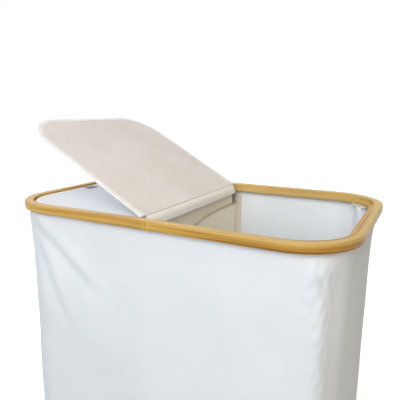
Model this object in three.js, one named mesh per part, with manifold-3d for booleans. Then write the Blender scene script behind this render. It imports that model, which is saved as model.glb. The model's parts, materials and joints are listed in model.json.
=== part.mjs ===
// Laundry hamper with two bins: a fabric body stretched on four corner poles under a bamboo rim,
// a bar across the middle that carries the divider, and a fabric lid hinged on each side of it.
// Millimetres. +X runs toward the right-hand bin, +Y toward the back and +Z up. The origin is on
// the floor under the middle of the rim. The left lid is shut, and the right lid is folded open.

import * as THREE from 'three';
import { mergeVertices } from 'three/addons/utils/BufferGeometryUtils.js';
import Module from 'manifold-3d';

// Whole hamper
const rimLength = 600;
const rimDepth = 376;
const rimTop = 630;
const rimCornerRadius = 91;

// Clearances
const seatGap = 0.3;
const jointGap = 0.3;
const layerGap = 0.2;
const lidClearance = 3.6;
const cutOverrun = 2;

// Rim section
const rimThickness = 14.5;
const rimOuterEdgeRadius = 2.5;
const rimInnerEdgeRadius = 1.2;
const ledgeWidth = 7.5;
const innerLipWidth = 11.7;
const hemGrooveDepth = 6;

// Rim joints
const rimJointOffset = 11;
const dowelRadius = 2.5;
const dowelLength = 24;
const dowelFit = 0.2;
const dowelChamfer = 0.6;

// Fabric body
const shellInset = 7.5;
const neckInset = 12.5;
const neckDrop = 60;
const bodyTaper = 5;
const floorCornerRadius = 40;
const shellWall = 1.5;
const shellBottomChamfer = 1.2;
const hemStripThickness = 1.2;
const baseBoardThickness = 4;
const baseBoardMargin = 1.5;

// Corner poles and what holds them
const poleRadius = 4.5;
const poleChamfer = 1;
const poleWallGap = 0.5;
const socketFit = 0.4;
const socketWall = 1.2;
const socketRoof = 2;
const socketDepth = 22;
const socketFlange = 2;
const socketFlangeReach = 20;
const socketScrewReach = 14;
const footFit = 0.2;
const footWall = 1.5;
const footFloor = 2;
const footHeight = 14;
const pocketFit = 0.5;
const pocketWall = 0.8;
const pocketEndGap = 8;

// Screws
const screwRadius = 1.2;
const screwLength = 5.5;
const screwTip = 1.5;
const screwHeadRadius = 2;
const screwHeadHeight = 1.5;
const screwHeadEdge = 0.5;
const screwFit = 0.2;

// Bar and divider
const dividerOffset = -8;
const barWidth = 8;
const barDrop = 2.5;
const barTongueThickness = 3;
const barSeatWall = 1.2;
const sleeveCloth = 0.7;
const sleeveEdgeRadius = 1.6;
const sleeveTailThickness = 1.8;
const sleeveTailMargin = 7;
const dividerThickness = 2.4;
const dividerDrop = 38;
const dividerFloorGap = 0.5;
const dividerTapeThickness = 1;
const dividerTapeWidth = 24;
const dividerTopTapeHeight = 16;
const dividerTopTapeMargin = 12;

// Lids
const lidRecess = 3.6;
const lidBoard = 1;
const lidCloth = 0.4;
const bindingCloth = 0.4;
const bindingWeb = 0.8;
const bindingFlange = 7;
const bindingEdgeRadius = 0.8;
const hingeTapeWidth = 14;
const hingeWeltRadius = 1.2;
const hingeClearance = 0.6;
const pullTabWidth = 24;
const pullTabLength = 16;
const pullTabThickness = 1.2;
const rightLidLean = THREE.MathUtils.degToRad(29);

// Facets
const cornerSegments = 12;
const edgeSegments = 2;
const poleSegments = 16;
const screwSegments = 8;

// Worked-out sizes
const halfLength = rimLength / 2;
const halfDepth = rimDepth / 2;
const rimBottom = rimTop - rimThickness;
const grooveOuter = shellInset - seatGap;
const hemStripInset = shellInset + shellWall + seatGap;
const grooveInner = hemStripInset + hemStripThickness + seatGap;
const rimWidth = grooveInner + innerLipWidth;
const riserInset = rimWidth - ledgeWidth;
const lidThickness = lidBoard + 2 * (lidCloth + bindingCloth) + 4 * layerGap;
const hingeHeight = rimTop - lidRecess;
const ledgeHeight = hingeHeight - lidThickness - seatGap;
const barTop = ledgeHeight - sleeveCloth - seatGap;
const tongueBottom = barTop - barTongueThickness;
const barBottom = rimBottom - barDrop;
const cornerX = halfLength - rimCornerRadius;
const cornerY = halfDepth - rimCornerRadius;
const neckHeight = rimBottom - neckDrop;
const floorTop = shellWall;
const baseBoardTop = floorTop + seatGap + baseBoardThickness;
const tailFace = dividerOffset + sleeveTailThickness / 2;
const topTapeFace = tailFace + seatGap + dividerTapeThickness;
const dividerTop = rimTop - dividerDrop;
const topTapeTop = dividerTop - dividerTapeThickness;

const bamboo = new THREE.MeshStandardMaterial({ color: '#c29a5b', roughness: 0.42, metalness: 0 });
const dowelWood = new THREE.MeshStandardMaterial({ color: '#d2b684', roughness: 0.6, metalness: 0 });
const whiteCloth = new THREE.MeshStandardMaterial({ color: '#e2e7eb', roughness: 0.85, metalness: 0 });
const beigeCloth = new THREE.MeshStandardMaterial({ color: '#ddd4cd', roughness: 0.9, metalness: 0 });
const khakiCloth = new THREE.MeshStandardMaterial({ color: '#c3b9a5', roughness: 0.9, metalness: 0 });
const greyRibbon = new THREE.MeshStandardMaterial({ color: '#8a8c90', roughness: 0.7, metalness: 0 });
const greyBoard = new THREE.MeshStandardMaterial({ color: '#b9b4aa', roughness: 0.8, metalness: 0 });
const whitePlastic = new THREE.MeshStandardMaterial({ color: '#e6e5e0', roughness: 0.45, metalness: 0 });
const poleCoat = new THREE.MeshStandardMaterial({ color: '#dcdddd', roughness: 0.4, metalness: 0.2 });
const zincSteel = new THREE.MeshStandardMaterial({ color: '#b4b6b8', roughness: 0.35, metalness: 0.9 });

const hamper = new THREE.Group();
const wasm = await Module();
wasm.setup();

// Geometry helpers

function addPart(name, geometry, material, parent = hamper) {
  const mesh = new THREE.Mesh(geometry, material);
  mesh.name = name;
  parent.add(mesh);
  return mesh;
}

function signedVolume(geometry) {
  const position = geometry.attributes.position;
  const index = geometry.index;
  const corner = [new THREE.Vector3(), new THREE.Vector3(), new THREE.Vector3()];
  let volume = 0;
  for (let i = 0; i < index.count; i += 3) {
    corner.forEach((point, k) => point.fromBufferAttribute(position, index.getX(i + k)));
    volume += corner[0].dot(corner[1].cross(corner[2]));
  }
  return volume;
}

function facingOut(geometry) {
  if (signedVolume(geometry) < 0) {
    const index = geometry.index.array;
    for (let i = 0; i < index.length; i += 3) {
      [index[i], index[i + 1]] = [index[i + 1], index[i]];
    }
  }
  geometry.computeVertexNormals();
  return geometry;
}

function welded(geometry) {
  geometry.deleteAttribute('normal');
  geometry.deleteAttribute('uv');
  return facingOut(mergeVertices(geometry));
}

function toSolid(geometry) {
  const closed = welded(geometry.clone());
  return new wasm.Manifold(new wasm.Mesh({
    numProp: 3,
    vertProperties: Float32Array.from(closed.attributes.position.array),
    triVerts: Uint32Array.from(closed.index.array),
  }));
}

function toGeometry(solid) {
  const mesh = solid.getMesh();
  const geometry = new THREE.BufferGeometry();
  geometry.setAttribute('position', new THREE.BufferAttribute(mesh.vertProperties, 3));
  geometry.setIndex(new THREE.BufferAttribute(mesh.triVerts, 1));
  geometry.computeVertexNormals();
  return geometry;
}

function cut(body, tools) {
  return tools.reduce((solid, tool) => solid.subtract(toSolid(tool)), toSolid(body));
}

function box(low, high) {
  const size = high.clone().sub(low);
  const centre = low.clone().add(high).multiplyScalar(0.5);
  return welded(new THREE.BoxGeometry(size.x, size.y, size.z)).translate(centre.x, centre.y, centre.z);
}

// An upright cylinder that stands on the floor
function cylinder(radius, height, segments) {
  return new THREE.CylinderGeometry(radius, radius, height, segments)
    .rotateX(Math.PI / 2)
    .translate(0, 0, height / 2);
}

// A profile of [radius, height] points turned about the Z axis
function turned(profile, segments) {
  const points = profile.map(([radius, height]) => new THREE.Vector2(radius, height));
  return welded(new THREE.LatheGeometry(points, segments).rotateX(Math.PI / 2));
}

function prism(shape, depth) {
  return welded(new THREE.ExtrudeGeometry(shape, {
    depth,
    bevelEnabled: false,
    curveSegments: cornerSegments / 2,
  }));
}

// A profile drawn in X and Z and drawn out along Y, centred on the middle
function prismAlongY(profile, length) {
  return prism(profile, length).rotateX(Math.PI / 2).translate(0, length / 2, 0);
}

// A profile drawn in Y and Z and drawn out along X from a start
function prismAlongX(profile, start, thickness) {
  const standing = new THREE.Matrix4().makeBasis(
    new THREE.Vector3(0, 1, 0),
    new THREE.Vector3(0, 0, 1),
    new THREE.Vector3(1, 0, 0),
  );
  return prism(profile, thickness).applyMatrix4(standing).translate(start, 0, 0);
}

function polygon(points) {
  return new THREE.Shape(points.map(([x, y]) => new THREE.Vector2(x, y)));
}

// One turn of points round a rectangle with round corners, drawn in by an inset
function insetRing(outline, inset, height) {
  const { left, right, front, back, radius } = outline;
  const centres = [
    [right - radius, back - radius],
    [left + radius, back - radius],
    [left + radius, front + radius],
    [right - radius, front + radius],
  ];
  const ring = [];
  centres.forEach(([x, y], quarter) => {
    for (let step = 0; step <= cornerSegments; step += 1) {
      const angle = (quarter + step / cornerSegments) * Math.PI / 2;
      const reach = radius - inset;
      ring.push(new THREE.Vector3(x + reach * Math.cos(angle), y + reach * Math.sin(angle), height));
    }
  });
  return ring;
}

// A skin over rings of equal count: closed on itself, or capped by its first and last ring
function loft(rings, closesOnItself) {
  const count = rings[0].length;
  const index = [];
  const spans = closesOnItself ? rings.length : rings.length - 1;
  for (let i = 0; i < spans; i += 1) {
    const lower = i * count;
    const upper = ((i + 1) % rings.length) * count;
    for (let j = 0; j < count; j += 1) {
      const next = (j + 1) % count;
      index.push(lower + j, lower + next, upper + next, lower + j, upper + next, upper + j);
    }
  }
  if (!closesOnItself) {
    const last = (rings.length - 1) * count;
    for (let j = 1; j < count - 1; j += 1) {
      index.push(0, j + 1, j, last, last + j, last + j + 1);
    }
  }
  const geometry = new THREE.BufferGeometry().setFromPoints(rings.flat());
  geometry.setIndex(index);
  return facingOut(geometry);
}

// A section of [inset, height] points carried once round an outline
function sweepRound(outline, section) {
  return loft(section.map(([inset, height]) => insetRing(outline, inset, height)), true);
}

// A quarter round between two edges, as points of a section
function quarterRound(inset, height, radius, startAngle) {
  const points = [];
  for (let step = 0; step <= edgeSegments; step += 1) {
    const angle = startAngle - step / edgeSegments * Math.PI / 2;
    points.push([inset + radius * Math.cos(angle), height + radius * Math.sin(angle)]);
  }
  return points;
}

const rimOutline = {
  left: -halfLength,
  right: halfLength,
  front: -halfDepth,
  back: halfDepth,
  radius: rimCornerRadius,
};

// The body's outer face: it draws in from the rim to a neck, and then evenly down to the floor,
// where its corners are tighter than the rim's
function shareDown(height) {
  return Math.max(0, rimBottom - height) / rimBottom;
}

function straightInset(height) {
  return neckInset + bodyTaper * shareDown(height);
}

function straightRadius(height) {
  const neckRadius = rimCornerRadius - neckInset;
  return neckRadius + (floorCornerRadius - neckRadius) * shareDown(height);
}

function flareAt(height) {
  const share = 1 - (rimBottom - height) / neckDrop;
  return (neckInset - shellInset) * THREE.MathUtils.clamp(share, 0, 1);
}

function wallAt(height) {
  return halfDepth - straightInset(height) + flareAt(height) - shellWall;
}

// Corner poles: their places, shared by the pockets, sockets and feet
const socketRadius = poleRadius + socketFit + socketWall;
const footRadius = poleRadius + footFit + footWall;
const pocketRadius = poleRadius + pocketFit + pocketWall;
const poleRoom = shellWall + poleWallGap + Math.max(socketRadius, footRadius, pocketRadius);
const socketTop = rimBottom - seatGap;
const socketBottom = socketTop - socketDepth;
const footBottom = floorTop + seatGap;
const poleBottom = footBottom + footFloor + seatGap;
const poleTop = socketTop - socketRoof - seatGap;

const ends = [['front', -1], ['back', 1]];
const corners = [
  { name: 'front_left', sideX: -1, sideY: -1 },
  { name: 'front_right', sideX: 1, sideY: -1 },
  { name: 'back_left', sideX: -1, sideY: 1 },
  { name: 'back_right', sideX: 1, sideY: 1 },
];

function polePoint(corner, height) {
  const radius = straightRadius(height);
  const drawnIn = straightInset(height) + radius - (radius - poleRoom) * Math.SQRT1_2;
  const x = corner.sideX * (halfLength - drawnIn);
  const y = corner.sideY * (halfDepth - drawnIn);
  return new THREE.Vector3(x, y, height);
}

function onPoleAxis(corner, bottom) {
  const group = new THREE.Group();
  const foot = polePoint(corner, bottom);
  const lean = polePoint(corner, poleTop).sub(foot).normalize();
  group.position.copy(foot);
  group.quaternion.setFromUnitVectors(new THREE.Vector3(0, 0, 1), lean);
  hamper.add(group);
  return group;
}

// Screws under the rim's inner lip: two through each socket and one at each end of the bar
const lipInset = rimWidth - innerLipWidth / 2;
const tongueReach = riserInset + barSeatWall + seatGap;
const barScrewInset = (tongueReach + rimWidth) / 2;
const socketHeadTop = socketTop - socketFlange;
const barHeadTop = rimBottom - seatGap;

const screws = [];
for (const corner of corners) {
  const lipRadius = rimCornerRadius - lipInset;
  for (const [place, side] of [['long_side', 1], ['short_side', -1]]) {
    const angle = Math.PI / 4 + side * socketScrewReach / lipRadius;
    screws.push({
      name: `socket_screw_${corner.name}_${place}`,
      x: corner.sideX * (cornerX + lipRadius * Math.cos(angle)),
      y: corner.sideY * (cornerY + lipRadius * Math.sin(angle)),
      z: socketHeadTop,
    });
  }
}
for (const [name, side] of ends) {
  const y = side * (halfDepth - barScrewInset);
  screws.push({ name: `crossbar_screw_${name}`, x: dividerOffset, y, z: barHeadTop });
}

// A clearance hole for each screw, a little longer than its shank
function screwHoles() {
  return screws.map(({ x, y, z }) => (
    cylinder(screwRadius + screwFit, screwLength + screwHeadHeight + seatGap, screwSegments)
      .translate(x, y, z - screwHeadHeight)));
}

function makeScrews() {
  const tip = screwLength;
  const profile = [
    [0, -screwHeadHeight],
    [screwHeadRadius - screwHeadEdge, -screwHeadHeight],
    [screwHeadRadius, -screwHeadHeight + screwHeadEdge],
    [screwHeadRadius, -layerGap],
    [screwRadius, -layerGap],
    [screwRadius, tip - screwTip],
    [0, tip],
  ];
  for (const { name, x, y, z } of screws) {
    addPart(name, turned(profile, screwSegments).translate(x, y, z), zincSteel);
  }
}

// Bamboo rim: one section swept round, with the ledge that the lids drop onto at its inner edge
// and the groove for the fabric's top hem below, cut into two halves that meet on dowels
function rimSection() {
  const outer = rimOuterEdgeRadius;
  const inner = rimInnerEdgeRadius;
  return [
    ...quarterRound(outer, rimTop - outer, outer, Math.PI),
    ...quarterRound(riserInset - inner, rimTop - inner, inner, Math.PI / 2),
    [riserInset, ledgeHeight],
    ...quarterRound(rimWidth - inner, ledgeHeight - inner, inner, Math.PI / 2),
    ...quarterRound(rimWidth - inner, rimBottom + inner, inner, 0),
    [grooveInner, rimBottom],
    [grooveInner, rimBottom + hemGrooveDepth],
    [grooveOuter, rimBottom + hemGrooveDepth],
    [grooveOuter, rimBottom],
    ...quarterRound(outer, rimBottom + outer, outer, -Math.PI / 2),
  ];
}

function dowelAt(side, radius, length, chamfer) {
  const profile = [
    [0, -length / 2],
    [radius - chamfer, -length / 2],
    [radius, chamfer - length / 2],
    [radius, length / 2 - chamfer],
    [radius - chamfer, length / 2],
    [0, length / 2],
  ];
  const y = side * (halfDepth - riserInset / 2);
  const z = (rimTop + rimBottom + hemGrooveDepth) / 2;
  return turned(profile, poleSegments).rotateY(Math.PI / 2).translate(rimJointOffset, y, z);
}

function barSeat(side) {
  const wall = halfDepth - tongueReach + seatGap;
  const low = new THREE.Vector3(dividerOffset - barWidth / 2 - seatGap, 0, tongueBottom - seatGap);
  const high = new THREE.Vector3(dividerOffset + barWidth / 2 + seatGap, wall, rimTop);
  return box(low, high).scale(1, side, 1);
}

function makeRim() {
  const bores = [-1, 1].map((side) => (
    dowelAt(side, dowelRadius + dowelFit, dowelLength + 2 * dowelFit, dowelChamfer)));
  const seats = [-1, 1].map((side) => welded(barSeat(side)));
  const ring = cut(sweepRound(rimOutline, rimSection()), [...bores, ...seats, ...screwHoles()]);
  const low = new THREE.Vector3(-halfLength - cutOverrun, -halfDepth - cutOverrun, rimBottom - cutOverrun);
  const high = new THREE.Vector3(halfLength + cutOverrun, halfDepth + cutOverrun, rimTop + cutOverrun);
  const leftEnd = new THREE.Vector3(rimJointOffset - jointGap / 2, high.y, high.z);
  const rightStart = new THREE.Vector3(rimJointOffset + jointGap / 2, low.y, low.z);
  addPart('rim_half_left', toGeometry(ring.intersect(toSolid(box(low, leftEnd)))), bamboo);
  addPart('rim_half_right', toGeometry(ring.intersect(toSolid(box(rightStart, high)))), bamboo);
  for (const [name, side] of ends) {
    addPart(`rim_dowel_${name}`, dowelAt(side, dowelRadius, dowelLength, dowelChamfer), dowelWood);
  }
}

// Bar across the middle, with a tongue at each end that laps into a seat in the rim's ledge
function makeCrossbar() {
  const left = dividerOffset - barWidth / 2;
  const shoulder = halfDepth - rimWidth - seatGap;
  const tip = halfDepth - tongueReach;
  const profile = polygon([
    [-tip, tongueBottom],
    [-shoulder, tongueBottom],
    [-shoulder, barBottom],
    [shoulder, barBottom],
    [shoulder, tongueBottom],
    [tip, tongueBottom],
    [tip, barTop],
    [-tip, barTop],
  ]);
  addPart('crossbar', toGeometry(cut(prismAlongX(profile, left, barWidth), screwHoles())), bamboo);
}

// Cloth sleeve round the bar, whose tail hangs down for the divider to fasten to
function makeCrossbarSleeve() {
  const reach = barWidth / 2 + seatGap + sleeveCloth;
  const radius = sleeveEdgeRadius;
  const top = ledgeHeight;
  const bottom = barBottom - seatGap - sleeveCloth;
  const tail = sleeveTailThickness / 2;
  const tailEnd = topTapeTop - dividerTopTapeHeight - sleeveTailMargin;
  const profile = new THREE.Shape();
  profile.moveTo(-tail, tailEnd);
  profile.lineTo(tail, tailEnd);
  profile.lineTo(tail, bottom);
  profile.absarc(reach - radius, bottom + radius, radius, -Math.PI / 2, 0);
  profile.absarc(reach - radius, top - radius, radius, 0, Math.PI / 2);
  profile.absarc(radius - reach, top - radius, radius, Math.PI / 2, Math.PI);
  profile.absarc(radius - reach, bottom + radius, radius, Math.PI, Math.PI * 1.5);
  profile.lineTo(-tail, bottom);
  const passage = reach - sleeveCloth;
  profile.holes.push(new THREE.Path([
    new THREE.Vector2(-passage, bottom + sleeveCloth),
    new THREE.Vector2(-passage, top - sleeveCloth),
    new THREE.Vector2(passage, top - sleeveCloth),
    new THREE.Vector2(passage, bottom + sleeveCloth),
  ]));
  const length = 2 * (halfDepth - rimWidth - seatGap);
  addPart('crossbar_sleeve', prismAlongY(profile, length).translate(dividerOffset, 0, 0), beigeCloth);
}

// Corded welt that stands between the lids' edges, with its round top on the hinge line
function makeHingeWelt() {
  const profile = new THREE.Shape();
  profile.moveTo(-hingeWeltRadius, ledgeHeight + layerGap);
  profile.lineTo(hingeWeltRadius, ledgeHeight + layerGap);
  profile.lineTo(hingeWeltRadius, hingeHeight);
  profile.absarc(0, hingeHeight, hingeWeltRadius, 0, Math.PI);
  const length = 2 * (halfDepth - rimWidth - seatGap);
  addPart('hinge_welt', prismAlongY(profile, length).translate(dividerOffset, 0, 0), beigeCloth);
}

// Open-topped fabric body, with its hem tucked up into the rim's groove
function makeOuterShell() {
  const hemTop = rimBottom + hemGrooveDepth - seatGap;
  const ring = (height, drawnIn) => {
    const inset = straightInset(height) - flareAt(height);
    const radius = straightRadius(height) + flareAt(height);
    return insetRing({ ...rimOutline, radius: radius + inset }, inset + drawnIn, height);
  };
  const outer = [
    ring(0, shellBottomChamfer),
    ring(shellBottomChamfer, 0),
    ring(neckHeight, 0),
    ring(rimBottom, 0),
    ring(hemTop, 0),
  ];
  const inner = [
    ring(hemTop, shellWall),
    ring(rimBottom, shellWall),
    ring(neckHeight, shellWall),
    ring(floorTop, shellWall),
  ];
  addPart('outer_shell', loft([...outer, ...inner], false), whiteCloth);
}

function makeHemStrip() {
  const low = rimBottom;
  const high = rimBottom + hemGrooveDepth - seatGap;
  const inner = hemStripInset + hemStripThickness;
  const section = [[hemStripInset, low], [hemStripInset, high], [inner, high], [inner, low]];
  addPart('hem_strip', sweepRound(rimOutline, section), whitePlastic);
}

// Stiff base board, with corners round enough to clear the feet of the poles
function makeBaseBoard() {
  const margin = straightInset(0) + shellWall + baseBoardMargin;
  const low = floorTop + seatGap;
  const foot = polePoint({ sideX: 1, sideY: 1 }, 0);
  const footEdge = foot.x - (footRadius + baseBoardMargin) * Math.SQRT1_2;
  const outline = {
    left: margin - halfLength,
    right: halfLength - margin,
    front: margin - halfDepth,
    back: halfDepth - margin,
    radius: (halfLength - margin - footEdge) / (1 - Math.SQRT1_2),
  };
  const rings = [insetRing(outline, 0, low), insetRing(outline, 0, baseBoardTop)];
  addPart('base_board', loft(rings, false), greyBoard);
}

// Poles, feet, sockets and pockets
function makePole(corner) {
  const length = polePoint(corner, poleTop).distanceTo(polePoint(corner, poleBottom));
  const profile = [
    [0, 0],
    [poleRadius - poleChamfer, 0],
    [poleRadius, poleChamfer],
    [poleRadius, length - poleChamfer],
    [poleRadius - poleChamfer, length],
    [0, length],
  ];
  addPart(`pole_${corner.name}`, turned(profile, poleSegments), poleCoat, onPoleAxis(corner, poleBottom));
}

function makePoleFoot(corner) {
  const bore = poleRadius + footFit;
  const profile = [
    [0, 0],
    [footRadius - footFloor / 2, 0],
    [footRadius, footFloor / 2],
    [footRadius, footHeight],
    [bore, footHeight],
    [bore, footFloor],
    [0, footFloor],
  ];
  const foot = turned(profile, poleSegments);
  addPart(`foot_${corner.name}`, foot, whitePlastic, onPoleAxis(corner, footBottom));
}

function makePoleSocket(corner) {
  const bore = poleRadius + socketFit;
  const profile = [
    [0, socketTop],
    [socketRadius, socketTop],
    [socketRadius, socketBottom],
    [bore, socketBottom],
    [bore, socketTop - socketRoof],
    [0, socketTop - socketRoof],
  ];
  const place = polePoint(corner, (socketTop + socketBottom) / 2);
  const cup = turned(profile, poleSegments).translate(place.x, place.y, 0);
  const outerRadius = rimCornerRadius - grooveInner - seatGap;
  const innerRadius = (Math.abs(place.x) - cornerX) * Math.SQRT2 - socketRadius;
  const spread = socketFlangeReach / outerRadius;
  const sector = new THREE.Shape();
  sector.absarc(0, 0, outerRadius, Math.PI / 4 - spread, Math.PI / 4 + spread);
  sector.absarc(0, 0, innerRadius, Math.PI / 4 + spread, Math.PI / 4 - spread, true);
  const flange = prism(sector, socketFlange)
    .scale(corner.sideX, corner.sideY, 1)
    .translate(corner.sideX * cornerX, corner.sideY * cornerY, socketTop - socketFlange);
  const bracket = toSolid(flange).add(toSolid(cup));
  const holed = screwHoles().reduce((solid, hole) => solid.subtract(toSolid(hole)), bracket);
  addPart(`socket_${corner.name}`, toGeometry(holed), whitePlastic);
}

function makePocket(corner) {
  const bottom = footBottom + footHeight + pocketEndGap;
  const length = socketBottom - pocketEndGap - bottom;
  const bore = poleRadius + pocketFit;
  const profile = [
    [bore, 0],
    [pocketRadius, 0],
    [pocketRadius, length],
    [bore, length],
    [bore, 0],
  ];
  addPart(`pocket_${corner.name}`, turned(profile, poleSegments), whiteCloth, onPoleAxis(corner, bottom));
}

// Divider, the tapes that fasten it to the body's walls and the one that fastens it to the sleeve
function makeDivider() {
  const low = baseBoardTop + dividerFloorGap;
  const edge = [low, neckHeight, dividerTop].map((height) => (
    [wallAt(height) - 2 * seatGap - dividerTapeThickness, height]));
  const sheet = polygon([...edge, ...edge.map(([reach, height]) => [-reach, height]).reverse()]);
  const panel = prismAlongX(sheet, topTapeFace + seatGap, dividerThickness);
  addPart('divider_panel', panel, khakiCloth);
}

function makeDividerTapes() {
  const low = baseBoardTop + dividerFloorGap;
  const levels = [low, neckHeight, dividerTop];
  const start = topTapeFace + seatGap + dividerThickness / 2 - dividerTapeWidth / 2;
  for (const [name, side] of ends) {
    const face = levels.map((height) => [side * (wallAt(height) - seatGap), height]);
    const back = face.map(([y, height]) => [y - side * dividerTapeThickness, height]).reverse();
    const tape = prismAlongX(polygon([...face, ...back]), start, dividerTapeWidth);
    addPart(`divider_tape_${name}`, tape, khakiCloth);
  }
  const reach = wallAt(dividerTop) - dividerTopTapeMargin;
  const corner = new THREE.Vector3(tailFace + seatGap, -reach, topTapeTop - dividerTopTapeHeight);
  const opposite = new THREE.Vector3(topTapeFace, reach, topTapeTop);
  addPart('divider_tape_top', box(corner, opposite), khakiCloth);
}

// Lids, drawn with the hinge line at the origin, the outer face up and the free end toward +X
const lidHalfWidth = halfDepth - riserInset - lidClearance;
const lidCornerRadius = rimCornerRadius - riserInset - lidClearance;
const lidStart = hingeWeltRadius + hingeClearance;

function lidSheet(length, bottom, thickness) {
  const inset = bindingWeb + layerGap;
  const side = lidHalfWidth - inset;
  const end = length - inset;
  const radius = lidCornerRadius - inset;
  const sheet = new THREE.Shape();
  sheet.moveTo(lidStart + inset, side);
  sheet.lineTo(lidStart + inset, -side);
  sheet.absarc(end - radius, radius - side, radius, -Math.PI / 2, 0);
  sheet.absarc(end - radius, side - radius, radius, 0, Math.PI / 2);
  return prism(sheet, thickness).translate(0, 0, bottom);
}

function bindingSection() {
  const radius = bindingEdgeRadius;
  return [
    ...quarterRound(radius, -radius, radius, Math.PI),
    [bindingFlange, 0],
    [bindingFlange, -bindingCloth],
    [bindingWeb, -bindingCloth],
    [bindingWeb, bindingCloth - lidThickness],
    [bindingFlange, bindingCloth - lidThickness],
    [bindingFlange, -lidThickness],
    ...quarterRound(radius, radius - lidThickness, radius, -Math.PI / 2),
  ];
}

// Folded binding round the three free edges
function lidBinding(length) {
  const outline = {
    left: -2 * lidCornerRadius,
    right: length,
    front: -lidHalfWidth,
    back: lidHalfWidth,
    radius: lidCornerRadius,
  };
  const low = new THREE.Vector3(lidStart, -lidHalfWidth - cutOverrun, -lidThickness - cutOverrun);
  const high = new THREE.Vector3(length + cutOverrun, lidHalfWidth + cutOverrun, cutOverrun);
  const hoop = toSolid(sweepRound(outline, bindingSection()));
  return toGeometry(hoop.intersect(toSolid(box(low, high))));
}

// Tape folded round the hinge edge, between the ends of the binding
function lidHingeTape() {
  const web = lidStart + bindingWeb;
  const end = lidStart + hingeTapeWidth;
  const profile = polygon([
    [lidStart, 0],
    [lidStart, -lidThickness],
    [end, -lidThickness],
    [end, bindingCloth - lidThickness],
    [web, bindingCloth - lidThickness],
    [web, -bindingCloth],
    [end, -bindingCloth],
    [end, 0],
  ]);
  return prismAlongY(profile, 2 * (lidHalfWidth - bindingFlange - layerGap));
}

// Ribbon tab that lies on the outer cover, with its root at the binding
function lidPullTab(length) {
  const coverTop = -bindingCloth - layerGap;
  const root = length - bindingFlange - layerGap;
  const low = new THREE.Vector3(root - pullTabLength, -pullTabWidth / 2, coverTop + layerGap);
  const high = new THREE.Vector3(root, pullTabWidth / 2, coverTop + layerGap + pullTabThickness);
  return box(low, high);
}

function makeLid(side, length, group) {
  const coverBottom = -bindingCloth - layerGap - lidCloth;
  const boardBottom = coverBottom - layerGap - lidBoard;
  const liningBottom = boardBottom - layerGap - lidCloth;
  addPart(`${side}_lid_cover`, lidSheet(length, coverBottom, lidCloth), whiteCloth, group);
  addPart(`${side}_lid_board`, lidSheet(length, boardBottom, lidBoard), greyBoard, group);
  addPart(`${side}_lid_lining`, lidSheet(length, liningBottom, lidCloth), beigeCloth, group);
  addPart(`${side}_lid_binding`, lidBinding(length), whiteCloth, group);
  addPart(`${side}_lid_hinge_tape`, lidHingeTape(), beigeCloth, group);
  addPart(`${side}_lid_pull_tab`, lidPullTab(length), greyRibbon, group);
  group.position.set(dividerOffset, 0, hingeHeight);
  hamper.add(group);
}

function makeLids() {
  const reach = halfLength - riserInset - lidClearance;
  const leftLid = new THREE.Group();
  leftLid.rotation.z = Math.PI;
  makeLid('left', reach + dividerOffset, leftLid);
  const rightLid = new THREE.Group();
  rightLid.rotation.y = rightLidLean - Math.PI;
  makeLid('right', reach - dividerOffset, rightLid);
}

makeRim();
makeScrews();
makeCrossbar();
makeCrossbarSleeve();
makeHingeWelt();
makeOuterShell();
makeHemStrip();
makeBaseBoard();
for (const corner of corners) {
  makePole(corner);
  makePoleFoot(corner);
  makePoleSocket(corner);
  makePocket(corner);
}
makeDivider();
makeDividerTapes();
makeLids();

export default hamper;
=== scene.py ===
"""Laundry hamper with two bins: a bamboo rim, a fabric body on corner poles, a divider and two lids.

Metres, in the frame's axes: +X toward the right bin, +Y toward the back, +Z up, floor at zero.
Rigid parts come from the frame and get their finish here. Cloth parts are built here in full.
"""

import json
import math

import bmesh
import bpy
import numpy as np
from mathutils import Matrix, Vector


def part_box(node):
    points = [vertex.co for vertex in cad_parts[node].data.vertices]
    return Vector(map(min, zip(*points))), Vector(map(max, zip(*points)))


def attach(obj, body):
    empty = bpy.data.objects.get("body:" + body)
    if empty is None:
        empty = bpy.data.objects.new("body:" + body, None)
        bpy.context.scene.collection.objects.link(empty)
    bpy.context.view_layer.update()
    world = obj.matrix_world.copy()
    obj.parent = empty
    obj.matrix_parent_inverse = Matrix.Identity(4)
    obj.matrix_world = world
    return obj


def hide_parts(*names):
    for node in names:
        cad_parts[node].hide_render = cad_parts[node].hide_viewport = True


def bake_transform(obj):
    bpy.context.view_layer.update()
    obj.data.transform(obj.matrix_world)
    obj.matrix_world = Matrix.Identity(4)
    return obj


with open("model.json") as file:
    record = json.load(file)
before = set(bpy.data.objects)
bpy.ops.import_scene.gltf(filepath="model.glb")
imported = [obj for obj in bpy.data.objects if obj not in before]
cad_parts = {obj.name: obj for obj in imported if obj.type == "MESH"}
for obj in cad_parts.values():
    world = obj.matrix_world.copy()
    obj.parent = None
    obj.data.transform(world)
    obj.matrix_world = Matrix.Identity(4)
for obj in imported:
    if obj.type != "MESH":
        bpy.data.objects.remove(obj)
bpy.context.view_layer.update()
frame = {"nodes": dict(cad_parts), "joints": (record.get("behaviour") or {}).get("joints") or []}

mm = 0.001
quarter_turn = math.pi / 2
corners = ["front_left", "front_right", "back_left", "back_right"]
ends = {"front": -1, "back": 1}
lids = ["left", "right"]

# Places from the frame
rim_boxes = [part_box("rim_half_left"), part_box("rim_half_right")]
rim_low = Vector(map(min, *(low for low, high in rim_boxes)))
rim_high = Vector(map(max, *(high for low, high in rim_boxes)))
half_length, half_depth, rim_top = rim_high
rim_bottom = rim_low.z
rim_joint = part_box("rim_half_left")[1].x
shell_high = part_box("outer_shell")[1]
hem_top = shell_high.z
board_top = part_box("base_board")[1].z
right_hinge = next(joint for joint in frame["joints"] if joint["name"] == "right_lid_hinge")
hinge_point = Vector(right_hinge["pos_m"])
lean = math.pi - math.radians(right_hinge["range_deg"][1])

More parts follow.
